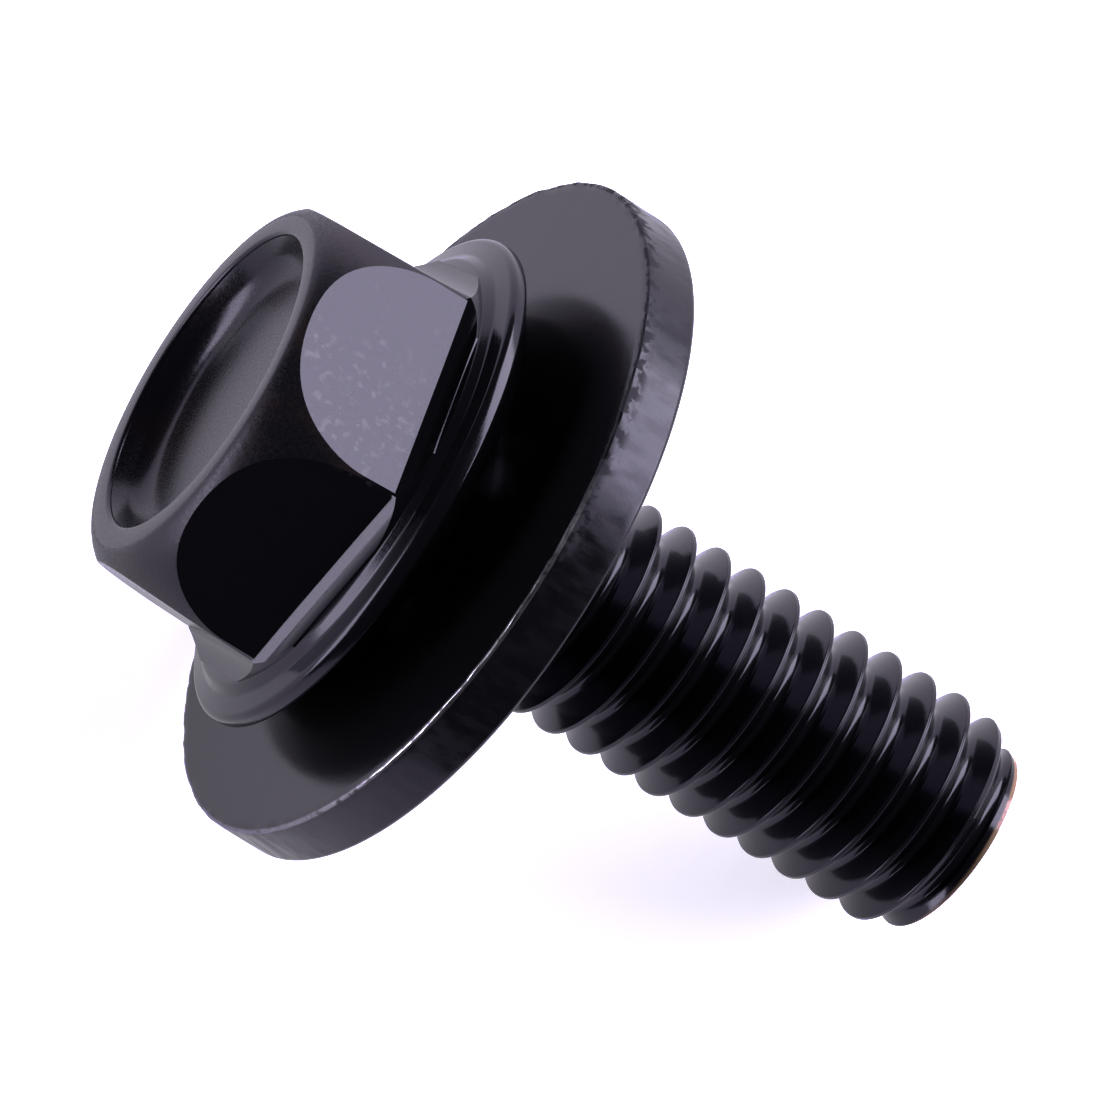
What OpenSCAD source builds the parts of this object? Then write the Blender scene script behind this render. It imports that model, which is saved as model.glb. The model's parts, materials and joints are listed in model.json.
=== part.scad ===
// Body bolt with an indented hexagon head, a round collar and a loose captive washer.
// It lies as it comes to rest: on the washer's rim and on the thread's end, with the head raised.
// The origin is on the surface below it, under the middle of its length, and the head points to -X.
// Sizes are in millimetres. Heights are from the collar's underside, towards the head.

/* [Head] */
// Width of the hexagon across its flats, at their foot
hex_af = 9.8; // [8:0.1:13]
// Slope of each flat towards the top of the head, in degrees
flat_draft = 2; // [0:0.1:3]
// Height of the head above the collar's underside
head_h = 5.3; // [4.4:0.02:7]
// Turn of the hexagon, from a corner that points straight up as the bolt lies
hex_turn = -8; // [-30:1:30]
// Width across the hexagon's corners at their foot, where they are rounded off
corner_foot_d = 11.28; // [10.6:0.02:11.5]
// Width across the hexagon's corners where the rounded shoulder starts
corner_top_d = 11.2; // [10.2:0.02:11.4]
// Height of the rounded shoulder at the top of the head
shoulder_h = 2.8; // [1:0.05:3]
// Diameter of the dished top, inside the rim
dish_d = 7.84; // [5:0.02:8.4]
// Depth of the dished top
dish_depth = 0.9; // [0.7:0.02:2]
// Width of the flat rim around the dish
rim_w = 0.54; // [0.1:0.02:0.6]
// Rounding between the dish's wall and floor
dish_fillet = 0.56; // [0.1:0.02:0.6]
// Width of the sloped foot along each flat
foot_w = 0.26; // [0.1:0.02:0.4]

/* [Collar] */
// Diameter of the collar at its widest
collar_d = 13.16; // [12.6:0.02:16]
// Diameter of the raised pad below the hexagon
pad_d = 11.44; // [11:0.02:11.8]
// Height of the pad at its edge
pad_h = 1.32; // [1.2:0.02:2]
// Height of the sloped step from the pad to the collar
pad_step = 0.2; // [0.05:0.01:0.3]
// Height of the collar's outer edge
collar_h = 1.03; // [0.8:0.01:1.1]
// Thickness of the collar's outer edge
edge_t = 0.46; // [0.4:0.02:0.7]
// Rounding of the collar's upper edge
collar_round = 0.2; // [0.1:0.02:0.25]
// Rounding of the collar's lower edge
collar_break = 0.12; // [0.06:0.02:0.15]
// Diameter of the collar's flat underside, inside its sloped edge
collar_foot_d = 11.2; // [9:0.1:12]

/* [Shank] */
// Outer diameter of the rolled thread
thread_d = 5.84; // [5:0.02:8]
// Distance from one turn of the thread to the next
pitch = 1.0; // [0.8:0.05:1.25]
// Depth of the thread from crest to root
thread_depth = 0.57; // [0.35:0.01:0.7]
// Which way the thread winds
thread_hand = -1; // [-1:left, 1:right]
// Length of the shank from the collar's underside to the middle of its end
shank_l = 16.5; // [12:0.05:40]
// Turn of the thread on the shank, as the depth below the collar of the first crest on the +Y side
crest_offset = 0.81; // [0:0.01:1]
// Length of the tapered end
taper_l = 1.08; // [0.5:0.02:2]
// Diameter of the flat end
end_d = 4.98; // [3.6:0.02:5]
// Angle by which the sheared end is out of square, longer on the +Y side
end_skew = 2.5; // [0:0.1:6]
// How far the neck lies inside the thread's crests
neck_relief = 0.3; // [0.25:0.01:0.35]
// Width of the foot between the neck and the collar
neck_foot = 0.25; // [0.1:0.01:0.4]

/* [Washer] */
// Outer diameter of the washer
washer_d = 17.5; // [14:0.1:24]
// Thickness of the washer
washer_t = 1.44; // [1:0.02:2.5]
// Angle at which the loose washer leans on the neck
washer_lean = 4.9; // [0:0.1:6]
// Rounding of the washer's lower edge, drawn in by the punch
washer_round = 0.14; // [0.1:0.02:0.5]
// Break of the washer's sharp upper edge
washer_break = 0.07; // [0.03:0.01:0.15]
// Width of the countersink around the bore's underside
countersink_w = 0.55; // [0.5:0.05:1]
// Depth of that countersink
countersink_h = 0.33; // [0.2:0.01:0.6]
// Gap between the washer's bore and the neck at their nearest
washer_play = 0.07; // [0.04:0.01:0.1]
// Gap between the washer's low side and the collar's flat underside
washer_gap = 0.13; // [0.05:0.01:0.3]

/* [Hidden] */

$fn = 96;
black_coat = "#1c1b20";
washer_coat = "#242329";

// Head: a round blank, cut to six flats
hex_sides = 6;
flat_r = hex_af / 2;
corner_foot_r = corner_foot_d / 2;
corner_r = corner_top_d / 2;
shoulder_z = head_h - shoulder_h;
shoulder_parts = 10;
dish_r = dish_d / 2;
dish_z = head_h - dish_depth;
dish_draft = 0.12;
rim_r = dish_r + rim_w;

// Collar: its pad rises a little towards the flats, and its outer edge slopes in to the flat underside
collar_r = collar_d / 2;
collar_foot_r = collar_foot_d / 2;
pad_r = pad_d / 2;
pad_rise = 0.1;
edge_slope = 80;
under_slope = -60;
foot_z = pad_h + pad_rise + foot_w;
buried_z = pad_h / 2;

// Thread: steps around one turn, and the section of one pitch as [share of pitch, share of depth]
steps = 32;
section = [[0, 1], [0.18, 0.95], [0.43, 0.05], [0.5, 0], [0.57, 0.05], [0.82, 0.95]];
rows = len(section);
thread_r = thread_d / 2;
root_r = thread_r - thread_depth;
core_r = thread_r / 2;
end_r = end_d / 2;
end_z = -shank_l;
spare_turns = 0.6;

// Washer: its centre lies on the bolt's axis, and its low side all but touches the collar
lean_rise = tan(washer_lean);
half_t = washer_t / 2;
tall_half = half_t / cos(washer_lean);
washer_r = washer_d / 2;
neck_r = thread_r - neck_relief;
bore_r = neck_r / cos(washer_lean) + half_t * lean_rise + washer_play;
face_r = bore_r + countersink_w;
washer_z = -(tall_half + collar_foot_r * lean_rise + washer_gap);

// Neck: it ends just below the washer, and the thread rises from inside it over one pitch
neck_margin = 0.15;
neck_z = washer_z - tall_half - face_r * lean_rise - neck_margin;
neck_cone = 0.35;
sunk_r = neck_r - neck_cone;
sunk_l = 0.1 * pitch;
runout_l = 1.05 * pitch;

// Points of an arc around a centre, in the plane of a profile
function arc(centre, radius, from, to, count = 8) =
    [for (i = [0:count]) let (a = from + (to - from) * i / count) centre + radius * [cos(a), sin(a)]];

// Section of the washer as [radius, height] from its middle plane
function washer_section() = concat(
    [[bore_r, half_t - washer_break], [bore_r + washer_break, half_t],
     [washer_r - washer_break, half_t], [washer_r, half_t - washer_break]],
    arc([washer_r - washer_round, washer_round - half_t], washer_round, 0, -90),
    [[face_r, -half_t], [bore_r, countersink_h - half_t]]);

// Section of the collar as [radius, height]: sloped underside, rounded edge, step and pad
function collar_section() = concat(
    [[0, 0], [collar_foot_r, 0]],
    arc([collar_r - collar_break, collar_h - edge_t + collar_break], collar_break, under_slope, 0, 4),
    arc([collar_r - collar_round, collar_h - collar_round], collar_round, 0, edge_slope),
    [[pad_r + pad_step, pad_h - pad_step], [pad_r, pad_h],
     [flat_r, pad_h + pad_rise], [0, pad_h + pad_rise]]);

// Shoulder: a quarter of an ellipse, from the corners in to the rim
function shoulder_points() =
    [for (i = [0:shoulder_parts]) let (a = 90 * i / shoulder_parts)
        [rim_r + (corner_r - rim_r) * cos(a), shoulder_z + shoulder_h * sin(a)]];

// Section of the round blank that the hexagon is cut from, with the dish in its top
function head_section() = concat(
    [[0, buried_z], [corner_foot_r, buried_z]],
    shoulder_points(),
    [[dish_r, head_h]],
    arc([dish_r - dish_draft - dish_fillet, dish_z + dish_fillet], dish_fillet, -15, -90),
    [[0, dish_z]]);

// Rest: the bolt lies at the angle where the washer's rim and the thread's end are equally low
function washer_drop(a) = max([for (p = washer_section()) p[0] * cos(a) - p[1] * sin(a)]);
function shank_drop(a) = max([for (p = [[thread_r, end_z + taper_l], [end_r, end_z]])
    p[0] * cos(a) - (p[1] - washer_z) * sin(a)]);
function rest_angle(low = 1, high = 60, left = 40) =
    let (mid = (low + high) / 2)
    left == 0 ? mid
    : washer_drop(mid + washer_lean) > shank_drop(mid) ? rest_angle(mid, high, left - 1)
    : rest_angle(low, mid, left - 1);
lie = rest_angle();
rest_h = washer_drop(lie + washer_lean);

// Reach of the lying bolt from the washer's centre, to its skewed end and to its head
end_reach = (washer_z - end_z) * cos(lie) + end_r * norm([sin(lie), tan(end_skew) * cos(lie)]);
head_reach = max([for (p = head_section()) (p[1] - washer_z) * cos(lie) + min(p[0], flat_r) * sin(lie)]);
middle_x = (end_reach - head_reach) / 2;

// Puts a piece that is drawn upright, head up, into the place where it lies
module laid() {
    translate([-middle_x, 0, rest_h])
        rotate([0, lie - 90, 0])
            translate([0, 0, -washer_z])
                children();
}

// Cuts for the six flats: each leans in towards the top of the head and spreads into a sloped foot
module flat_cuts() {
    reach = collar_r;
    top_z = 2 * head_h;
    cut = [[flat_r, foot_z], [flat_r + reach, foot_z - reach], [flat_r + reach, top_z],
           [flat_r - (top_z - foot_z) * tan(flat_draft), top_z]];
    for (k = [0:hex_sides - 1])
        rotate(hex_turn + 360 * (k + 0.5) / hex_sides)
            rotate([90, 0, 0])
                linear_extrude(2 * reach, center = true) polygon(cut);
}

// Head: the round blank cut to six flats, with its corners left round
module head() {
    difference() {
        rotate_extrude() polygon(head_section());
        flat_cuts();
    }
}

// Collar: pad, step and rounded edge
module collar() {
    rotate_extrude() polygon(collar_section());
}

// Radius of the thread at a height, held inside the tapered end and the run-out at the neck
function end_limit(z) = thread_r - max(0, end_z + taper_l - z) * (thread_r - end_r) / taper_l;
function start_limit(z) =
    max(sunk_r, thread_r - max(0, z - neck_z + runout_l) * (thread_r - sunk_r) / (runout_l + sunk_l));
function thread_radius(z, depth) =
    max(core_r, min(thread_r - thread_depth * depth, end_limit(z), start_limit(z)));

// Thread: one skin wound from a grid of steps around and rows along, closed by a fan at each end
module thread() {
    first_z = -crest_offset - pitch * thread_hand / 4;
    low_z = first_z - pitch * ceil((first_z - end_z) / pitch + spare_turns);
    turns = ceil((neck_z - low_z) / pitch + spare_turns);
    last = turns * rows - 1;
    function point(i, j) =
        let (share = section[j % rows], z = low_z + pitch * (i / steps + floor(j / rows) + share[0] - 0.5))
        let (r = thread_radius(z, share[1]), a = 360 * i / steps)
        [r * cos(a), r * sin(a), z];
    function at(i, j) = i * (last + 1) + j;
    function next(i, j) = i + 1 < steps ? at(i + 1, j) : at(0, j + rows);
    low_axis = steps * (last + 1);
    high_axis = low_axis + 1;
    points = concat(
        [for (i = [0:steps - 1], j = [0:last]) point(i, j)],
        [[0, 0, low_z - pitch], [0, 0, low_z + pitch * turns]]);
    skin = [for (i = [0:steps - 1], j = [0:last - 1])
        if (i + 1 < steps || j + 1 + rows <= last)
            each [[at(i, j), at(i, j + 1), next(i, j)], [next(i, j), at(i, j + 1), next(i, j + 1)]]];
    low_edge = concat([for (i = [0:steps - 1]) at(i, 0)], [for (j = [rows:-1:1]) at(0, j)]);
    high_edge = concat([for (i = [0:steps - 1]) at(i, last)], [for (j = [1:rows]) at(steps - 1, last - j)]);
    low_fan = [for (k = [0:len(low_edge) - 1]) [low_axis, low_edge[k], low_edge[(k + 1) % len(low_edge)]]];
    high_fan = [for (k = [0:len(high_edge) - 1])
        [high_axis, high_edge[(k + 1) % len(high_edge)], high_edge[k]]];
    mirror([0, thread_hand < 0 ? 1 : 0, 0])
        polyhedron(points = points, faces = concat(skin, low_fan, high_fan), convexity = 10);
}

// Neck: plain, with a foot under the collar and a short cone down to the thread's root
module neck() {
    cone_z = neck_z - neck_cone;
    cone_r = min(root_r, sunk_r);
    rotate_extrude() polygon([
        [0, buried_z], [neck_r + neck_foot, buried_z], [neck_r + neck_foot, 0], [neck_r, -neck_foot],
        [neck_r, neck_z], [cone_r, cone_z], [0, cone_z]]);
}

// Shank: the neck and the thread, which is sheared off at its end
module shank() {
    neck();
    intersection() {
        thread();
        translate([0, 0, end_z]) rotate([-end_skew, 0, 0]) cylinder(r = collar_r, h = shank_l);
    }
}

// Bolt: head, collar and shank, cold formed as one piece
module bolt() {
    color(black_coat) laid() {
        head();
        collar();
        shank();
    }
}

// Washer: loose on the neck, leaning towards the collar on its low side
module washer() {
    color(washer_coat) laid()
        translate([0, 0, washer_z])
            rotate([0, washer_lean, 0])
                rotate_extrude() polygon(washer_section());
}

bolt();
washer();
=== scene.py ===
"""Looks of a body bolt: one cold-formed bolt in a glossy black coat, and its loose stamped washer.

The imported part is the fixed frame. Both pieces are modelled again with finer surfaces, upright and in
millimetres, with the bolt's zero at the underside of its collar and the washer's at its middle. The
finished meshes are then laid where the frame has them.
"""

import json
import math
from types import SimpleNamespace

import bmesh
import bpy
from bpy.props import FloatProperty, IntProperty, PointerProperty, StringProperty
from bpy.types import Operator, Panel, PropertyGroup
from mathutils import Matrix, Vector, noise


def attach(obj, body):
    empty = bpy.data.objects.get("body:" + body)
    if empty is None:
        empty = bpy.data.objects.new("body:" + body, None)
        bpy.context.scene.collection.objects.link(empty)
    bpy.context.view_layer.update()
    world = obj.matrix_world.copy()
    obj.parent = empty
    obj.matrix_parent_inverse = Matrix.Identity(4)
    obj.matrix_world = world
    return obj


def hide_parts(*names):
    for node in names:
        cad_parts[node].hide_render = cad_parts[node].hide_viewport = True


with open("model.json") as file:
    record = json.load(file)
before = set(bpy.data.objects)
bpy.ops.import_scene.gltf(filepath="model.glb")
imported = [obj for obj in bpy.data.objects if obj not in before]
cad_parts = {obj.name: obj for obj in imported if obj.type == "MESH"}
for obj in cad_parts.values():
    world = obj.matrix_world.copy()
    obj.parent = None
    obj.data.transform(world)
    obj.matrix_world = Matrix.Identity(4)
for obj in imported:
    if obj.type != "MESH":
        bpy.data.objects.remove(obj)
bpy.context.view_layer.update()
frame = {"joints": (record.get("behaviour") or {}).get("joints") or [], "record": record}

bl_info = {
    "name": "Body bolt",
    "version": (1, 0, 0),
    "blender": (4, 5, 0),
    "location": "3D View > Sidebar > Body bolt",
    "description": "Models a black coated body bolt with its loose washer, and a plain stage",
    "category": "Add Mesh",
}

MM = 0.001
WELD = 1e-4
UP = Vector((0, 0, 1))
MOUNTS = {mount["name"]: mount for mount in frame["record"]["mounts"]}
WASHER_JOINT = frame["joints"][0]
# Each softbox: azimuth and elevation, then the two angles that it spreads over, all in degrees
RIGHT_BOX = ((54, 21), (68, 34))
LEFT_BOX = ((-148, 15), (50, 24))
# Point that the camera looks at, from the washer's middle
AIM_MM = Vector((2.8412, 0.576, -0.0758))
# Where the tone curve bends: level of light, and the level that it is printed at
TONES = ((0.36, 0.36), (0.56, 1.0))
ROOM_COLOUR = (0.9, 0.9, 1.0, 1)
# Both coats: size in millimetres and detail of the orange peel and of the grain. The real grain is finer,
# and is drawn two pixels wide, so that it shows in the render.
FILM = {"peel": (0.5, 2.0), "grain": (0.055, 3.0)}
PEEL_DEPTH_MM, GRAIN_DEPTH_MM = 0.02, 0.004
PEEL_STRENGTH = 0.06
# Levels between which most of the grain's noise lies
GRAIN_SPREAD = (0.3, 0.7)


def length(name, description, size):
    """A property that holds a length, given here in millimetres."""
    return FloatProperty(name=name, description=description, default=size * MM, unit="LENGTH", precision=5)


def angle(name, description, degrees):
    """A property that holds an angle, given here in degrees."""
    return FloatProperty(name=name, description=description, default=math.radians(degrees), subtype="ANGLE")


def power(name, description, watts):
    """A property that holds the power of a light."""
    return FloatProperty(name=name, description=description, default=watts, unit="POWER")


def colour(name, description, value):
    """A property that holds an sRGB colour as a hex value."""
    return StringProperty(name=name, description=description, default=value)


class HeadSizes(PropertyGroup):
    """Sizes of the bolt's dished hexagon head."""
    hex_af: length("Across flats", "Width of the hexagon across its flats, at their foot", 9.8)
    flat_draft: angle("Flat draft", "Lean of the flats towards the top of the head", 2)
    hex_turn: angle("Hexagon turn", "Turn of the hexagon about the bolt's axis", -8.8)
    foot_z: length("Foot height", "Height at which the flats spread into their sloped foot", 1.68)
    foot_round: length("Foot rounding", "Radius of the hollow foot under the flats", 0.9)
    foot_start: angle("Foot start", "Lean of the hollow foot where it leaves a flat", 40)
    foot_end: angle("Foot end", "Lean of the hollow foot where it runs into the pad", 82)
    foot_r: length("Foot radius", "Radius that the foot's corners are cut to", 5.7)
    head_h: length("Head height", "Height of the head above the collar's underside", 5.3)
    corner_foot_r: length("Corner at foot", "Radius of the rounded corners at the foot", 5.64)
    corner_top_r: length("Corner at shoulder", "Radius of the rounded corners at the shoulder", 5.6)
    shoulder_h: length("Shoulder height", "Height of the rounded shoulder", 2.8)
    shoulder_power: FloatProperty(name="Shoulder power", default=1.7,
                                  description="Fullness of the shoulder: 1 is a cone and 2 is an ellipse")
    arch_round: length("Arch rounding", "Rounding where a flat meets the shoulder", 0.03)
    dish_r: length("Dish radius", "Radius of the dished top", 3.92)
    dish_depth: length("Dish depth", "Depth of the dished top", 0.9)
    dish_draft: length("Dish draft", "Narrowing of the dish towards its floor", 0.12)
    dish_fillet: length("Dish fillet", "Rounding between the dish's wall and floor", 0.75)
    rim_w: length("Rim width", "Width of the rim around the dish", 0.54)
    rim_round: length("Rim rounding", "Rounding of the rim's inner edge", 0.1)
    off_centre: length("Off centre", "How far forming pressed the hexagon and the collar aside", 0.18)


class CollarSizes(PropertyGroup):
    """Sizes of the round collar under the head."""
    collar_r: length("Collar radius", "Radius of the collar at its widest", 6.5)
    collar_h: length("Collar height", "Height of the collar's thin edge", 1.03)
    edge_t: length("Edge thickness", "Thickness of the collar's edge", 0.46)
    upper_round: length("Upper rounding", "Rounding of the collar's upper edge", 0.2)
    lower_round: length("Lower rounding", "Rounding of the collar's lower edge", 0.12)
    foot_r: length("Foot radius", "Radius of the flat underside", 5.6)
    pad_r: length("Pad radius", "Radius of the raised pad under the head", 5.72)
    pad_h: length("Pad height", "Height of the pad's edge", 1.32)
    pad_step: length("Pad step", "Step from the pad down to the collar's edge", 0.2)
    pad_rise: length("Pad rise", "Rise of the pad from its edge to the flats", 0.1)
    step_round: length("Step rounding", "Rounding of the step's two edges", 0.05)


class ShankSizes(PropertyGroup):
    """Sizes of the bolt's neck and thread."""
    thread_r: length("Thread radius", "Radius over the thread's crests", 2.92)
    thread_depth: length("Thread depth", "Depth of the thread", 0.67)
    pitch: length("Pitch", "Distance from one turn of the thread to the next", 1.0)
    crest_half: length("Crest half", "Half the distance between the crest's two rounded edges", 0.024)
    crest_round: length("Crest rounding", "Radius of each of the crest's two edges", 0.045)
    crest_groove: length("Crest groove", "Depth of the fold that rolling leaves along the crest", 0.014)
    flank: angle("Flank", "Lean of the thread's flanks", 25.5)
    root_round: length("Root rounding", "Radius of the rolled roots", 0.2)
    crest_offset: length("Crest offset", "Depth below the collar of the first crest on the +Y side", 0.81)
    runout: length("Run-out", "Length over which the thread rises from the neck", 1.05)
    shank_l: length("Shank length", "Length from the collar's underside to the end", 16.5)
    neck_r: length("Neck radius", "Radius of the plain neck", 2.62)
    neck_l: length("Neck length", "Length of the plain neck", 2.489)
    neck_cone: length("Neck cone", "Length of the cone from the neck to the thread's root", 0.35)
    neck_foot: length("Neck foot", "Rounding between the neck and the collar", 0.25)
    taper_l: length("Taper length", "Length of the tapered end", 1.08)
    end_r: length("End radius", "Radius of the sheared end", 2.49)
    end_round: length("End rounding", "Rounding of the end's edge", 0.14)
    end_skew: angle("End skew", "Lean of the sheared end", 2.5)
    cup_depth: length("Cup depth", "Depth of the hollow that shearing leaves in the end", 0.24)


class WasherSizes(PropertyGroup):
    """Sizes of the washer."""
    outer_r: length("Outer radius", "Radius of the washer's rim", 8.75)
    bore_r: length("Bore radius", "Radius of the washer's bore", 2.761)
    thickness: length("Thickness", "Thickness of the washer", 1.44)
    lower_round: length("Lower rounding", "Rounding of the rim's lower edge, drawn in by the punch", 0.14)
    upper_break: length("Upper break", "Break of the rim's and the bore's upper edges", 0.07)
    countersink_w: length("Countersink width", "Width of the countersink around the bore's underside", 0.55)
    countersink_h: length("Countersink height", "Height of the countersink", 0.33)
    burr: length("Burr", "Unevenness of the ragged burr along the rim's upper edge", 0.05)
    shear: length("Shear marks", "Depth of the marks that shearing leaves across the rim", 0.008)


class Finish(PropertyGroup):
    """Colours of the coat and of what shows through it."""
    coat: colour("Coat", "Black of the coat", "#0b0a0e")
    washer_coat: colour("Washer coat", "Black of the washer's coat", "#0c0b0e")
    sheen: colour("Sheen", "Violet tint of the coat's reflections", "#e6deff")
    brown: colour("Brown film", "Brown of the film where it is thin", "#1c1311")
    worn: colour("Worn edge", "Tan of the worn steel at the sheared end", "#8d7460")
    bare: colour("Bare steel", "Steel that shows through on the burr", "#8b8890")
    speck: colour("Specks", "Grey specks in the coat of one flat", "#48464a")
    dust: colour("Dust", "Pale specks of dust", "#b5b2ba")
    light: colour("Light", "Tint of the softboxes", "#fbfaff")
    floor: colour("Floor", "Pale floor", "#dcd4ec")
    glow: colour("Floor glow", "Tint of the light that the floor gives by itself", "#fefdff")


class StageSettings(PropertyGroup):
    """Camera and light."""
    azimuth: angle("Azimuth", "Direction of the view around the bolt", 20.2546)
    elevation: angle("Elevation", "Height of the view above the horizon", 79.5028)
    roll: angle("Roll", "Turn of the picture", -7.4104)
    distance: length("Distance", "Distance of the camera", 353.5)
    lens: FloatProperty(name="Lens", description="Focal length of the camera", default=489.68,
                        unit="CAMERA")
    right_light: power("Right softbox", "Power of the softbox at the picture's right", 8.3)
    left_light: power("Left softbox", "Power of the softbox at the picture's left", 3.2)
    room: FloatProperty(name="Room", description="Brightness of the dim room around", default=0.06)
    floor_glow: FloatProperty(name="Floor glow", description="Light that the floor gives", default=0.4)
    steps: IntProperty(name="Steps", description="Steps around the bolt", default=160)
    washer_steps: IntProperty(name="Washer steps", description="Steps around the washer", default=360)


def sizes(group):
    """The values of a property group, with its lengths in millimetres."""
    kinds = group.bl_rna.properties
    values = {name: getattr(group, name) for name in group.__annotations__}
    return SimpleNamespace(**{name: value / MM if kinds[name].unit == "LENGTH" else value
                              for name, value in values.items()})


def placed(origin, axis):
    """Matrix that lays an upright piece in millimetres with its zero at origin and its +Z along axis."""
    up = Vector(axis).normalized()
    across = Vector((0, 1, 0))
    side = across.cross(up)
    turn = Matrix((side, across, up)).transposed().to_4x4()
    return Matrix.Translation(origin) @ turn @ Matrix.Scale(MM, 4)


def arc(centre, radius, start, end, count=8):
    """Points of an arc in the plane of a section, with its angles in degrees."""
    angles = [math.radians(start + (end - start) * i / count) for i in range(count + 1)]
    return [(centre[0] + radius * math.cos(a), centre[1] + radius * math.sin(a)) for a in angles]


def revolved(section, steps):
    """A closed surface spun from a section of (radius, height) points."""
    bm = bmesh.new()
    verts = [bm.verts.new((r, 0, z)) for r, z in section]
    edges = [bm.edges.new(pair) for pair in zip(verts, verts[1:])]
    bmesh.ops.spin(bm, geom=verts + edges, cent=(0, 0, 0), axis=(0, 0, 1), dvec=(0, 0, 0),
                   angle=2 * math.pi, steps=steps, use_merge=True, use_duplicate=False)
    bmesh.ops.remove_doubles(bm, verts=bm.verts, dist=WELD)
    bmesh.ops.recalc_face_normals(bm, faces=bm.faces)
    return bm


def softened(bm, edges, width):
    """Rounds edges by a small bevel."""
    bmesh.ops.bevel(bm, geom=edges, offset=width, offset_type="OFFSET", affect="EDGES", segments=3,
                    profile=0.5, material=-1, clamp_overlap=True)


def grown_ring(bm, ring, radius, height, tilt=0.0):
    """Extrudes a ring of edges to a new radius and height, and returns the new ring."""
    made = bmesh.ops.extrude_edge_only(bm, edges=ring)["geom"]
    verts = {v for v in made if isinstance(v, bmesh.types.BMVert)}
    for vert in verts:
        flat = vert.co.xy.normalized() * radius
        vert.co = (flat.x, flat.y, height - flat.y * tilt)
    return [e for e in made if isinstance(e, bmesh.types.BMEdge) and set(e.verts) <= verts]


def creased(bm, degrees):
    """Marks the edges that are sharper than an angle as creases, and smooths the rest."""
    for face in bm.faces:
        face.smooth = True
    for edge in bm.edges:
        edge.smooth = edge.calc_face_angle(0) < math.radians(degrees)


def scratch_object(name, bm):
    """A temporary object for a Boolean."""
    mesh = bpy.data.meshes.new(name)
    bm.to_mesh(mesh)
    bm.free()
    made = bpy.data.objects.new(name, mesh)
    bpy.context.scene.collection.objects.link(made)
    return made


def combined(first, second, operation):
    """The union or the common part of two closed surfaces."""
    a, b = scratch_object("first", first), scratch_object("second", second)
    joined = a.modifiers.new("combined", "BOOLEAN")
    joined.operation = operation
    joined.solver = "EXACT"
    joined.object = b
    bm = bmesh.new()
    bm.from_object(a, bpy.context.evaluated_depsgraph_get())
    for made in (a, b):
        mesh = made.data
        bpy.data.objects.remove(made)
        bpy.data.meshes.remove(mesh)
    return bm


def piece(name, bm, matrix, material, body):
    """Lays a finished mesh in the frame as a piece that stands for the node of the same name."""
    upright = bm.verts.layers.float_vector.new("upright")
    for vert in bm.verts:
        vert[upright] = vert.co
    bmesh.ops.transform(bm, matrix=matrix, verts=bm.verts)
    mesh = bpy.data.meshes.new(name + "_coated")
    bm.to_mesh(mesh)
    bm.free()
    mesh.materials.append(material)
    made = bpy.data.objects.new(name + "_coated", mesh)
    bpy.context.scene.collection.objects.link(made)
    weighted = made.modifiers.new("even shading", "WEIGHTED_NORMAL")
    weighted.keep_sharp = True
    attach(made, body)
    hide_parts(name)
    return made


def head_section(size, buried_z):
    """Section of the head from the middle of its dish, over the rim and down a corner into the collar."""
    floor_h = size.head_h - size.dish_depth
    wall_r = size.dish_r - size.dish_draft
    rim_r = size.dish_r + size.rim_w
    shoulder_z = size.head_h - size.shoulder_h
    quarter = [math.radians(5 * i) for i in range(18, -1, -1)]
    bend = 2 / size.shoulder_power
    shoulder = [(rim_r + (size.corner_top_r - rim_r) * abs(math.cos(a)) ** bend,
                 shoulder_z + size.shoulder_h * math.sin(a) ** bend) for a in quarter]
    return [
        (0, floor_h),
        *arc((wall_r - size.dish_fillet, floor_h + size.dish_fillet), size.dish_fillet, -90, -15, 8),
        *arc((size.dish_r + size.rim_round, size.head_h - size.rim_round), size.rim_round, 180, 90, 6),
        *shoulder,
        (size.corner_foot_r, buried_z), (0, buried_z),
    ]


def collar_section(size, flat_r, neck_edge_r):
    """Section of the collar from the axis at its top, over its edge, to the neck's foot below."""
    top_z = size.pad_h + size.pad_rise
    upper_r = size.collar_r - size.upper_round
    lower_r = size.collar_r - size.lower_round
    return [
        (0, top_z), (flat_r, top_z),
        (size.pad_r, size.pad_h), (size.pad_r + size.pad_step, size.pad_h - size.pad_step),
        *arc((upper_r, size.collar_h - size.upper_round), size.upper_round, 80, 0, 8),
        *arc((lower_r, size.collar_h - size.edge_t + size.lower_round), size.lower_round, 0, -60, 5),
        (size.foot_r, 0), (neck_edge_r, 0), (0, 0),
    ]


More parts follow.
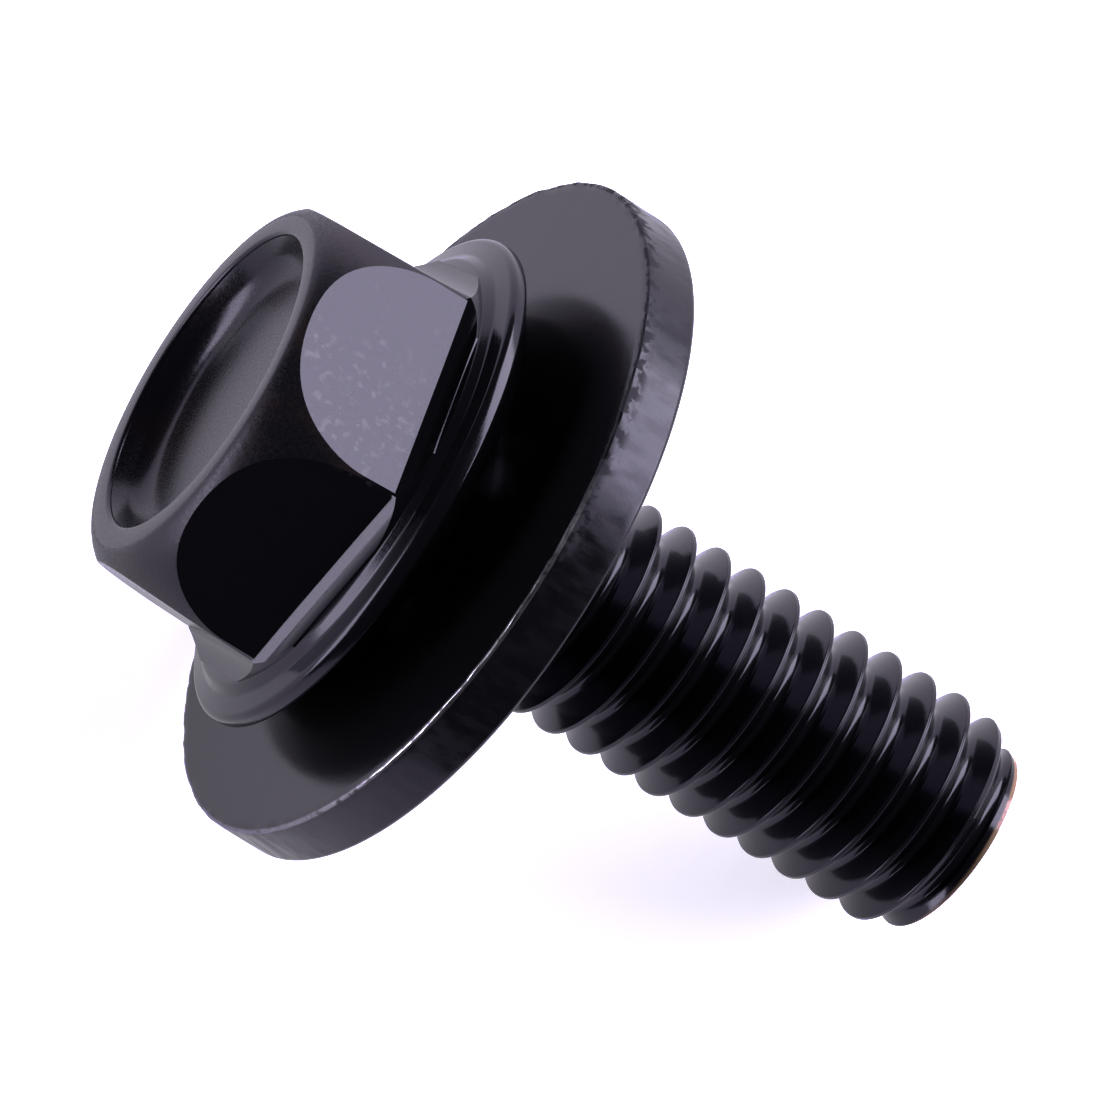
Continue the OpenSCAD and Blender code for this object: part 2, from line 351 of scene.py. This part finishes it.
def hollow_foot(size, buried_z, steps):
    """The hollow rounding under the flats: a hexagon that flares over the pad, cut round at its corners."""
    flat_r = size.hex_af / 2
    inside, clear = 0.4, 0.1
    low_z, high_z = buried_z + clear, size.foot_z + inside
    start, end = math.degrees(size.foot_start), math.degrees(size.foot_end)
    centre = (flat_r + size.foot_round * math.cos(size.foot_start),
              size.foot_z + size.foot_round * math.sin(size.foot_start))
    flare = arc(centre, size.foot_round, 180 + start, 180 + end, 10)
    corner = 1 / math.cos(math.pi / 6)
    bm = bmesh.new()
    made = bmesh.ops.create_circle(bm, cap_ends=True, segments=6, radius=(flat_r - inside) * corner)
    bmesh.ops.rotate(bm, verts=made["verts"], matrix=Matrix.Rotation(size.hex_turn - math.pi / 6, 3, "Z"))
    bmesh.ops.translate(bm, verts=made["verts"], vec=UP * high_z)
    ring = bm.edges[:]
    for r, z in (*flare, (flare[-1][0], low_z)):
        ring = grown_ring(bm, ring, r * corner, z)
    bmesh.ops.edgeloop_fill(bm, edges=ring)
    bmesh.ops.recalc_face_normals(bm, faces=bm.faces)
    top_z = high_z + inside
    section = [(0, top_z), (size.foot_r, top_z), (size.foot_r, buried_z), (0, buried_z)]
    return combined(bm, revolved(section, steps), "INTERSECT")


def six_cuts(bm, size, lean):
    """Cuts six planes round a blank, each through the foot of a flat, and closes the cuts."""
    for k in range(6):
        a = size.hex_turn + math.radians(60 * k + 30)
        out = Vector((math.cos(a), math.sin(a), 0))
        cut = bmesh.ops.bisect_plane(bm, geom=bm.verts[:] + bm.edges[:] + bm.faces[:], dist=WELD,
                                     plane_co=out * size.hex_af / 2 + UP * size.foot_z,
                                     plane_no=out * math.cos(lean) + UP * math.sin(lean), clear_outer=True)
        rim = [e for e in cut["geom_cut"] if isinstance(e, bmesh.types.BMEdge)]
        bmesh.ops.edgeloop_fill(bm, edges=rim)
    bmesh.ops.recalc_face_normals(bm, faces=bm.faces)


def hexagon_head(size, buried_z, steps):
    """The dished head with six flats, and the sloped foot under them."""
    bm = revolved(head_section(size, buried_z), steps)
    six_cuts(bm, size, size.flat_draft)
    shoulder_z = size.head_h - size.shoulder_h
    sharp = math.radians(12)
    arches = [e for e in bm.edges
              if e.calc_face_angle(0) > sharp and min(v.co.z for v in e.verts) > shoulder_z
              and min(v.co.xy.length for v in e.verts) > size.dish_r + size.rim_w]
    softened(bm, arches, size.arch_round)
    return combined(bm, hollow_foot(size, buried_z, steps), "UNION")


def round_collar(size, flat_r, neck_edge_r, steps):
    """The collar with its pad, step and thin edge."""
    bm = revolved(collar_section(size, flat_r, neck_edge_r), steps)
    turns = ((size.pad_r, size.pad_h), (size.pad_r + size.pad_step, size.pad_h - size.pad_step))
    for r, z in turns:
        ring = [e for e in bm.edges
                if all(abs(v.co.z - z) < WELD and abs(v.co.xy.length - r) < WELD for v in e.verts)]
        softened(bm, ring, size.step_round)
    return bm


def thread_section(size):
    """One pitch of the rolled thread as (distance along the axis, radius), from root to root."""
    middle = size.pitch / 2
    root_r = size.thread_r - size.thread_depth
    lean = math.degrees(size.flank)
    half = [(0, size.thread_r - size.crest_groove),
            *arc((size.crest_half, size.thread_r - size.crest_round), size.crest_round, 120, lean, 5),
            *arc((middle, root_r + size.root_round), size.root_round, 180 + lean, 270, 5)]
    rising = [(middle - along, r) for along, r in reversed(half)]
    falling = [(middle + along, r) for along, r in half[1:-1]]
    return rising + falling


def held_radius(size, r, z, end_z, root_r):
    """Radius of a point of the thread, held inside the tapered end, the run-out and the neck's cone."""
    neck_z = -size.neck_l
    sunk_r = size.neck_r - size.neck_cone
    slope = (size.thread_r - size.end_r) / size.taper_l
    taper = size.thread_r - max(0, size.taper_l - size.shank_l - z) * slope
    inset = max(0, size.end_round - (z - end_z))
    taper -= size.end_round - math.sqrt(max(0, size.end_round ** 2 - inset ** 2))
    past_neck = 0.1
    steep = (size.thread_r - sunk_r) / (size.runout + past_neck)
    rise = size.thread_r - max(0, z - neck_z + size.runout) * steep
    cone = size.neck_r - (neck_z - z) * (size.neck_r - root_r) / size.neck_cone
    if z <= end_z:
        return taper
    if z >= neck_z:
        return size.neck_r
    return max(min(r, taper, max(rise, sunk_r)), cone)


def threaded_shank(size, steps):
    """The neck, the thread and the end: one turn spun as a left-hand helix, then held at both ends."""
    hand = -1
    neck_z = -size.neck_l
    tilt = math.tan(size.end_skew)
    section = thread_section(size)
    root_r = size.thread_r - size.thread_depth
    first = -size.crest_offset - hand * size.pitch / 4 - size.pitch / 2
    spare_below, spare_above = 1.3, 1.2
    low = first - size.pitch * math.ceil((first + size.shank_l) / size.pitch + spare_below)
    turns = math.ceil((neck_z - low) / size.pitch + spare_above)
    bm = bmesh.new()
    verts = [bm.verts.new((r, 0, low + turn * size.pitch + z)) for turn in range(turns) for z, r in section]
    edges = [bm.edges.new(pair) for pair in zip(verts, verts[1:])]
    bmesh.ops.spin(bm, geom=verts + edges, cent=(0, 0, 0), axis=(0, 0, 1), dvec=(0, 0, size.pitch / steps),
                   angle=hand * 2 * math.pi, steps=steps, use_merge=False, use_duplicate=False)
    bmesh.ops.remove_doubles(bm, verts=bm.verts, dist=WELD)
    for vert in bm.verts:
        out = vert.co.xy.normalized()
        end_z = -size.shank_l - size.end_r * out.y * tilt
        z = min(max(vert.co.z, end_z), neck_z)
        flat = out * held_radius(size, vert.co.xy.length, z, end_z, root_r)
        vert.co = (flat.x, flat.y, z)
    bmesh.ops.remove_doubles(bm, verts=bm.verts, dist=WELD)
    rim = [e for e in bm.edges if e.is_boundary]
    upper = [e for e in rim if e.verts[0].co.z > -size.shank_l / 2]
    lower = [e for e in rim if e.verts[0].co.z < -size.shank_l / 2]
    for r, z in arc((size.neck_r + size.neck_foot, -size.neck_foot), size.neck_foot, 180, 90, 6):
        upper = grown_ring(bm, upper, r, z)
    cup_inset = 0.35
    cup_r = size.end_r - size.end_round - cup_inset
    cup_rows = ((1.05, 0), (1, 0.15), (0.8, 0.75), (0.4, 1))
    for share, depth in cup_rows:
        lower = grown_ring(bm, lower, cup_r * share, depth * size.cup_depth - size.shank_l, tilt)
    bmesh.ops.edgeloop_fill(bm, edges=lower)
    bmesh.ops.recalc_face_normals(bm, faces=bm.faces)
    return bm


def mark_forged(bm, size):
    """Marks the faces of the shoulder and the dish, which keep the matt skin of the forming."""
    forged = bm.faces.layers.float.new("as_forged")
    shoulder_z = size.head_h - size.shoulder_h
    rim_r = size.dish_r + size.rim_w
    shoulder_skin, dish_skin = 1.0, 0.35
    on_surface = 0.94
    for face in bm.faces:
        middle = face.calc_center_median()
        out = (middle.xy.length - rim_r) / (size.corner_top_r - rim_r)
        up = (middle.z - shoulder_z) / size.shoulder_h
        skin = shoulder_skin if out > 0 else dish_skin
        full = abs(out) ** size.shoulder_power + abs(up) ** size.shoulder_power
        face[forged] = skin if up > 0 and full > on_surface else 0.0


def whole_bolt(head, collar, shank, steps):
    """Head, collar and shank welded into one surface."""
    near, level, seam = 0.01, 0.001, 0.002
    head_crease, thread_crease = 17, 40
    neck_edge_r = shank.neck_r + shank.neck_foot
    top = hexagon_head(head, collar.pad_h / 2, steps)
    bm = combined(top, round_collar(collar, head.hex_af / 2, neck_edge_r, steps), "UNION")
    mark_forged(bm, head)
    for vert in bm.verts:
        share = (vert.co.xy.length - head.dish_r) / (head.corner_top_r - head.dish_r)
        vert.co.y -= head.off_centre * min(1, max(0, share))
    middle = [v for v in bm.verts if v.co.length < near]
    bmesh.ops.delete(bm, geom=middle, context="VERTS")
    creased(bm, head_crease)
    lower = threaded_shank(shank, steps)
    creased(lower, thread_crease)
    mesh = bpy.data.meshes.new("shank")
    lower.to_mesh(mesh)
    lower.free()
    bm.from_mesh(mesh)
    bpy.data.meshes.remove(mesh)
    ring = [v for v in bm.verts if abs(v.co.z) < level and v.co.xy.length < neck_edge_r + near]
    bmesh.ops.remove_doubles(bm, verts=ring, dist=seam)
    bmesh.ops.recalc_face_normals(bm, faces=bm.faces)
    return bm


def washer_section(size):
    """Section of the washer, all the way round."""
    half = size.thickness / 2
    face_r = size.bore_r + size.countersink_w
    edge = size.upper_break
    rim_rows = 9
    support = 0.05
    low, high = size.lower_round - half, half - edge
    rim = [(size.outer_r, high + (low - high) * i / rim_rows) for i in range(rim_rows)]
    return [
        (size.bore_r, half - edge), (size.bore_r + edge, half),
        (size.outer_r - 4 * edge, half),
        *arc((size.outer_r - edge, half - edge), edge, 90, 15, 4),
        *rim,
        *arc((size.outer_r - size.lower_round, low), size.lower_round, 0, -90, 6),
        (face_r + support, -half), (face_r, -half),
        (size.bore_r, size.countersink_h - half), (size.bore_r, half - edge),
    ]


def stamped_washer(size, steps):
    """The washer with the shear marks across its rim and the ragged burr along its upper edge."""
    mark_w, mark_h = 0.3, 1.5
    burr_long, burr_short, burr_level = 0.7, 0.2, 0.35
    burr_in, burr_down = 0.5, 0.6
    rim_crease = 35
    rim_w, burr_start, burr_full = (share * size.upper_break for share in (3, 2.2, 2))
    bm = revolved(washer_section(size), steps)
    half = size.thickness / 2
    for vert in bm.verts:
        r, z = vert.co.xy.length, vert.co.z
        if r > size.outer_r - rim_w and z > size.lower_round - half:
            out = vert.co.xy.normalized()
            place = Vector((out.x, out.y, 0)) * size.outer_r
            marks = size.shear * (0.5 + 0.5 * noise.noise(place / mark_w + UP * z / mark_h))
            uneven = noise.noise(place / burr_long) + 0.5 * noise.noise(place / burr_short)
            ragged = size.burr * max(0, burr_level + uneven)
            share = min(1, max(0, (z - half + burr_start) / burr_full))
            flat = out * (r - marks - ragged * share * burr_in)
            down = burr_down if z > half - size.upper_break else 0
            vert.co = (flat.x, flat.y, z - ragged * share * down)
    creased(bm, rim_crease)
    return bm


def linear(value):
    """An sRGB hex value as linear red, green, blue and alpha."""
    parts = [int(value[i:i + 2], 16) / 255 for i in (1, 3, 5)]
    return (*[c / 12.92 if c <= 0.04045 else ((c + 0.055) / 1.055) ** 2.4 for c in parts], 1.0)


def add(tree, kind, inputs=None, **settings):
    """Adds a node with its settings, values and links. A node given as a value is linked by its output."""
    node = tree.nodes.new(kind)
    for name, value in settings.items():
        setattr(node, name, value)
    for socket, value in (inputs or {}).items():
        if isinstance(value, bpy.types.Node):
            value = next(output for output in value.outputs if output.enabled)
        if isinstance(value, bpy.types.NodeSocket):
            tree.links.new(value, node.inputs[socket])
        else:
            node.inputs[socket].default_value = value
    return node


def new_material(name):
    """An empty material and its node tree."""
    made = bpy.data.materials.new(name)
    made.use_nodes = True
    made.node_tree.nodes.clear()
    return made, made.node_tree


def patterns(tree, place, grains):
    """Noise by name, from its size in millimetres, its detail and, if it is drawn out, its stretch."""
    made = SimpleNamespace()
    for name, (size_mm, detail, *stretch) in grains.items():
        drawn = add(tree, "ShaderNodeVectorMath", {0: place, 1: stretch[0] if stretch else (1, 1, 1)},
                    operation="MULTIPLY")
        setattr(made, name, add(tree, "ShaderNodeTexNoise", {
            "Vector": drawn, "Scale": 1 / size_mm, "Detail": detail}))
    return made


def distances(tree, place, directions):
    """Distances by name along directions of the upright piece, and the radius around its axis."""
    made = SimpleNamespace()
    for name, direction in directions.items():
        setattr(made, name, add(tree, "ShaderNodeVectorMath", {0: place, 1: direction},
                                operation="DOT_PRODUCT"))
    flat = add(tree, "ShaderNodeVectorMath", {0: place, 1: (1, 1, 0)}, operation="MULTIPLY")
    made.radius = add(tree, "ShaderNodeVectorMath", {0: flat}, operation="LENGTH")
    return made


def masked(tree, rows):
    """The common part of masks: each row is a value, where its mask is 0 and where 1, or a mask alone."""
    common = None
    for value, *limits in rows:
        mask = value
        if limits:
            mask = add(tree, "ShaderNodeMapRange", {
                "Value": value, "From Min": limits[0], "From Max": limits[1]},
                interpolation_type="SMOOTHSTEP")
        if common is None:
            common = mask
        else:
            common = add(tree, "ShaderNodeMath", {0: common, 1: mask}, operation="MULTIPLY")
    return common


def dust(tree, place, spacing_mm, reach, share):
    """A mask of round specks: their spacing, their reach in shares of it, and the share that show."""
    core, soft = 0.4, 0.04
    cells = add(tree, "ShaderNodeTexVoronoi", {"Vector": place, "Scale": 1 / spacing_mm})
    parts = add(tree, "ShaderNodeSeparateColor", {"Color": cells.outputs["Color"]})
    return masked(tree, ((cells.outputs["Distance"], reach, reach * core),
                         (parts.outputs["Red"], 1 - share, 1 - share + soft)))


def layered(tree, base, layers):
    """A colour with further colours laid over it, each by its mask."""
    for share, over in layers:
        base = add(tree, "ShaderNodeMix", {"Factor": share, "A": base, "B": linear(over)}, data_type="RGBA")
    return base


def dulled(tree, layers):
    """A roughness in layers: each has a mask, the pattern it follows, the pattern's spread and limits."""
    surface = None
    for share, pattern, spread, limits in layers:
        layer = add(tree, "ShaderNodeMapRange", {
            "Value": pattern, "From Min": spread[0], "From Max": spread[1],
            "To Min": limits[0], "To Max": limits[1]})
        if surface is None:
            surface = layer
        else:
            surface = add(tree, "ShaderNodeMix", {"Factor": share, "A": surface, "B": layer},
                          data_type="FLOAT")
    return surface


def relief(tree, layers):
    """A normal that is bumped in layers: each has a height, its strength and its depth in millimetres."""
    normal = None
    for height, strength, depth_mm in layers:
        inputs = {"Height": height, "Strength": strength, "Distance": depth_mm * MM}
        if normal is not None:
            inputs["Normal"] = normal
        normal = add(tree, "ShaderNodeBump", inputs)
    return normal


def coated(tree, base, roughness, metallic, normal):
    """The surface of a coat that is a thin dielectric film with a faint violet sheen."""
    sheen = linear(bpy.context.scene.bolt_finish.sheen)
    shader = add(tree, "ShaderNodeBsdfPrincipled", {
        "Base Color": base, "Roughness": roughness, "Metallic": metallic, "IOR": 1.5,
        "Specular Tint": sheen, "Normal": normal})
    add(tree, "ShaderNodeOutputMaterial", {"Surface": shader})


def bolt_coat(head, shank):
    """Black electro-coat on cold-formed steel: a glossy film with orange peel and a faint violet sheen.

    The shoulder and the dish keep the matt skin of the forming, where the film is thin and brown in places.
    One flat is full of grey specks towards its lower end. The edge of the sheared end is worn tan.
    """
    dust_mm, skin_depth_mm = 0.9, 0.02
    film_gloss, skin_gloss = (0.1, 0.22), (0.26, 0.5)
    finish = bpy.context.scene.bolt_finish
    made, tree = new_material("black electro-coat on cold-formed steel")
    place = add(tree, "ShaderNodeAttribute", attribute_name="upright").outputs["Vector"]
    forged = add(tree, "ShaderNodeAttribute", attribute_name="as_forged").outputs["Fac"]
    noises = patterns(tree, place, {
        **FILM, "wear": (0.25, 3.0), "thin": (1.6, 3.0), "clusters": (1.5, 2.0), "blots": (0.22, 1.5),
        "skin": (0.16, 3.0)})
    turn = head.hex_turn + math.pi / 6
    at = distances(tree, place, {
        "up": UP, "above_end": (0, math.tan(shank.end_skew), 1),
        "out": (math.cos(turn), math.sin(turn), 0), "aside": (-math.sin(turn), math.cos(turn), 0)})
    end_z, flat_r, foot_z = -shank.shank_l, head.hex_af / 2, head.foot_z
    worn = masked(tree, ((at.above_end, end_z + 0.14, end_z + 0.06),
                         (at.radius, shank.end_r - 0.3, shank.end_r - 0.15), (noises.wear, 0.25, 0.45)))
    thin = masked(tree, ((forged,), (noises.thin, 0.45, 0.6)))
    specks = masked(tree, ((noises.clusters, 0.34, 0.58), (noises.blots, 0.53, 0.7), (forged, 0.2, 0.1),
                           (at.out, flat_r - 0.3, flat_r - 0.15), (at.aside, 2.6, -0.6),
                           (at.up, foot_z, foot_z + 0.1)))
    base = layered(tree, linear(finish.coat), (
        (thin, finish.brown), (specks, finish.speck), (worn, finish.worn),
        (dust(tree, place, dust_mm, 0.045, 0.06), finish.dust)))
    roughness = dulled(tree, ((None, noises.grain, GRAIN_SPREAD, film_gloss),
                              (forged, noises.grain, GRAIN_SPREAD, skin_gloss)))
    skin = masked(tree, ((noises.skin,), (forged,)))
    normal = relief(tree, ((noises.peel, PEEL_STRENGTH, PEEL_DEPTH_MM), (noises.grain, 0.15, GRAIN_DEPTH_MM),
                           (skin, 0.35, skin_depth_mm)))
    coated(tree, base, roughness, 0.0, normal)
    return made


def washer_coat(size):
    """Black electro-coat on stamped steel: glossy faces, and a sheared rim that is streaked and duller.

    Half of the rim's upper edge has a ragged burr of bare steel. Along the other half the film is chipped.
    """
    dust_mm, mark_depth_mm = 0.9, 0.012
    film_gloss, mark_gloss, chip_gloss = (0.14, 0.26), (0.16, 0.36), (0.7, 0.7)
    mark_spread = (0.35, 0.65)
    finish = bpy.context.scene.bolt_finish
    made, tree = new_material("black electro-coat on stamped steel")
    place = add(tree, "ShaderNodeAttribute", attribute_name="upright").outputs["Vector"]
    noises = patterns(tree, place, {
        **FILM, "burr": (0.3, 3.0), "chips": (0.28, 4.0), "marks": (0.35, 4.0, (1, 1, 0.4))})
    at = distances(tree, place, {"up": UP, "aside": (0, 1, 0)})
    top_z, rim_r = size.thickness / 2, size.outer_r
    rim = masked(tree, ((at.radius, rim_r - 0.16, rim_r - 0.06),))
    burr = masked(tree, ((at.radius, rim_r - 0.12, rim_r - 0.05), (at.up, top_z - 0.12, top_z - 0.06),
                         (noises.burr, 0.22, 0.55), (at.aside, 2.0, -1.5)))
    chipped = masked(tree, ((rim,), (at.aside, -2.0, 1.0), (at.up, top_z - 0.5, top_z - 0.2),
                            (noises.chips, 0.44, 0.56)))
    base = layered(tree, linear(finish.washer_coat), (
        (burr, finish.bare), (dust(tree, place, dust_mm, 0.05, 0.1), finish.dust)))
    roughness = dulled(tree, ((None, noises.grain, GRAIN_SPREAD, film_gloss),
                              (rim, noises.marks, mark_spread, mark_gloss),
                              (chipped, noises.grain, GRAIN_SPREAD, chip_gloss)))
    marks = masked(tree, ((noises.marks,), (rim,)))
    normal = relief(tree, ((noises.peel, PEEL_STRENGTH, PEEL_DEPTH_MM), (noises.grain, 0.3, GRAIN_DEPTH_MM),
                           (marks, 0.05, mark_depth_mm)))
    coated(tree, base, roughness, burr, normal)
    return made


def pale_floor(glow):
    """Matt white acrylic, lit softly from below."""
    finish = bpy.context.scene.bolt_finish
    made, tree = new_material("matt white acrylic")
    shader = add(tree, "ShaderNodeBsdfPrincipled", {
        "Base Color": linear(finish.floor), "Roughness": 0.9,
        "Emission Color": linear(finish.glow), "Emission Strength": glow})
    add(tree, "ShaderNodeOutputMaterial", {"Surface": shader})
    return made


class BOLT_OT_bolt(Operator):
    """Models the bolt: dished hexagon head, collar, neck and rolled thread"""
    bl_idname = "body_bolt.bolt"
    bl_label = "Bolt"

    def execute(self, context):
        scene = context.scene
        head, collar, shank = sizes(scene.bolt_head), sizes(scene.bolt_collar), sizes(scene.bolt_shank)
        axis = Vector(MOUNTS["hex_drive"]["axis"])
        origin = Vector(MOUNTS["hex_drive"]["pos_m"]) - axis * head.head_h * MM
        mesh = whole_bolt(head, collar, shank, scene.bolt_stage.steps)
        piece("bolt", mesh, placed(origin, axis), bolt_coat(head, shank), "bolt")
        return {"FINISHED"}


class BOLT_OT_washer(Operator):
    """Models the loose stamped washer"""
    bl_idname = "body_bolt.washer"
    bl_label = "Washer"

    def execute(self, context):
        size = sizes(context.scene.bolt_washer)
        matrix = placed(Vector(WASHER_JOINT["pos_m"]), WASHER_JOINT["axis"])
        mesh = stamped_washer(size, context.scene.bolt_stage.washer_steps)
        piece("washer", mesh, matrix, washer_coat(size), "washer")
        return {"FINISHED"}


class BOLT_OT_stage(Operator):
    """Sets the pale floor, the soft light and the camera"""
    bl_idname = "body_bolt.stage"
    bl_label = "Stage"

    def execute(self, context):
        stage = context.scene.bolt_stage
        self.floor(stage.floor_glow)
        self.softbox("right softbox", *RIGHT_BOX, stage.right_light)
        self.softbox("left softbox", *LEFT_BOX, stage.left_light)
        self.world(context, stage.room)
        self.tone(context)
        self.camera(context, stage)
        return {"FINISHED"}

    def floor(self, glow):
        """A wide round floor at height zero."""
        floor_r = 2.0
        bm = bmesh.new()
        bmesh.ops.create_circle(bm, cap_ends=True, segments=96, radius=floor_r)
        mesh = bpy.data.meshes.new("floor")
        bm.to_mesh(mesh)
        bm.free()
        mesh.materials.append(pale_floor(glow))
        made = bpy.data.objects.new("floor", mesh)
        bpy.context.scene.collection.objects.link(made)

    def softbox(self, name, direction, spread, watts):
        """A soft light that stands around the bolt in a direction, and spreads over two angles."""
        away = 0.7
        azimuth, elevation = (math.radians(a) for a in direction)
        level = math.cos(elevation)
        place = Vector((math.cos(azimuth) * level, math.sin(azimuth) * level, math.sin(elevation))) * away
        light = bpy.data.lights.new(name, "AREA")
        light.shape = "RECTANGLE"
        light.size, light.size_y = (2 * away * math.tan(math.radians(a / 2)) for a in spread)
        light.energy = watts
        light.color = linear(bpy.context.scene.bolt_finish.light)[:3]
        made = bpy.data.objects.new(name, light)
        made.location = place
        made.rotation_euler = (-place).to_track_quat("-Z", "Y").to_euler()
        bpy.context.scene.collection.objects.link(made)

    def world(self, context, strength):
        """A dim room around the stage."""
        world = bpy.data.worlds.new("dim room")
        world.use_nodes = True
        room = world.node_tree.nodes["Background"]
        room.inputs["Color"].default_value = ROOM_COLOUR
        room.inputs["Strength"].default_value = strength
        context.scene.world = world

    def tone(self, context):
        """High-key tones: dark and middle tones stay as they are, and the pale floor is printed white."""
        view = context.scene.view_settings
        view.view_transform = "Standard"
        view.use_curve_mapping = True
        curve = view.curve_mapping.curves[3]
        for level, printed in TONES:
            curve.points.new(level, printed)
        for point in curve.points:
            point.handle_type = "VECTOR"
        view.curve_mapping.update()

    def camera(self, context, stage):
        """A long lens that looks down at the bolt from the photograph's angle."""
        aim = Vector(WASHER_JOINT["pos_m"]) + AIM_MM * MM
        level = math.cos(stage.elevation)
        back = Vector((math.sin(stage.azimuth) * level, -math.cos(stage.azimuth) * level,
                       math.sin(stage.elevation)))
        data = bpy.data.cameras.new("camera")
        data.sensor_width = 36.0
        data.lens = stage.lens
        data.clip_start, data.clip_end = 0.01, 10.0
        made = bpy.data.objects.new("camera", data)
        made.rotation_mode = "QUATERNION"
        made.location = aim + back * stage.distance
        turn = Matrix.Rotation(stage.roll, 4, -back)
        facing = (-back).to_track_quat("-Z", "Y").to_matrix().to_4x4()
        made.rotation_quaternion = (turn @ facing).to_quaternion()
        context.scene.collection.objects.link(made)
        context.scene.camera = made


class BOLT_PT_panel(Panel):
    """Lists the pieces and the stage"""
    bl_idname = "BOLT_PT_panel"
    bl_label = "Body bolt"
    bl_space_type = "VIEW_3D"
    bl_region_type = "UI"
    bl_category = "Body bolt"

    def draw(self, context):
        for operator in OPERATORS:
            self.layout.operator(operator.bl_idname)
        for name in GROUPS:
            group = getattr(context.scene, name)
            box = self.layout.box()
            for key in group.__annotations__:
                box.prop(group, key)


GROUPS = {"bolt_head": HeadSizes, "bolt_collar": CollarSizes, "bolt_shank": ShankSizes,
          "bolt_washer": WasherSizes, "bolt_finish": Finish, "bolt_stage": StageSettings}
OPERATORS = (BOLT_OT_bolt, BOLT_OT_washer, BOLT_OT_stage)


def register():
    for cls in (*GROUPS.values(), *OPERATORS, BOLT_PT_panel):
        bpy.utils.register_class(cls)
    for name, cls in GROUPS.items():
        setattr(bpy.types.Scene, name, PointerProperty(type=cls))


def unregister():
    for name in GROUPS:
        delattr(bpy.types.Scene, name)
    for cls in (BOLT_PT_panel, *reversed(OPERATORS), *reversed(GROUPS.values())):
        bpy.utils.unregister_class(cls)


def main():
    register()
    bpy.ops.body_bolt.bolt()
    bpy.ops.body_bolt.washer()
    bpy.ops.body_bolt.stage()


if __name__ == "__main__":
    main()
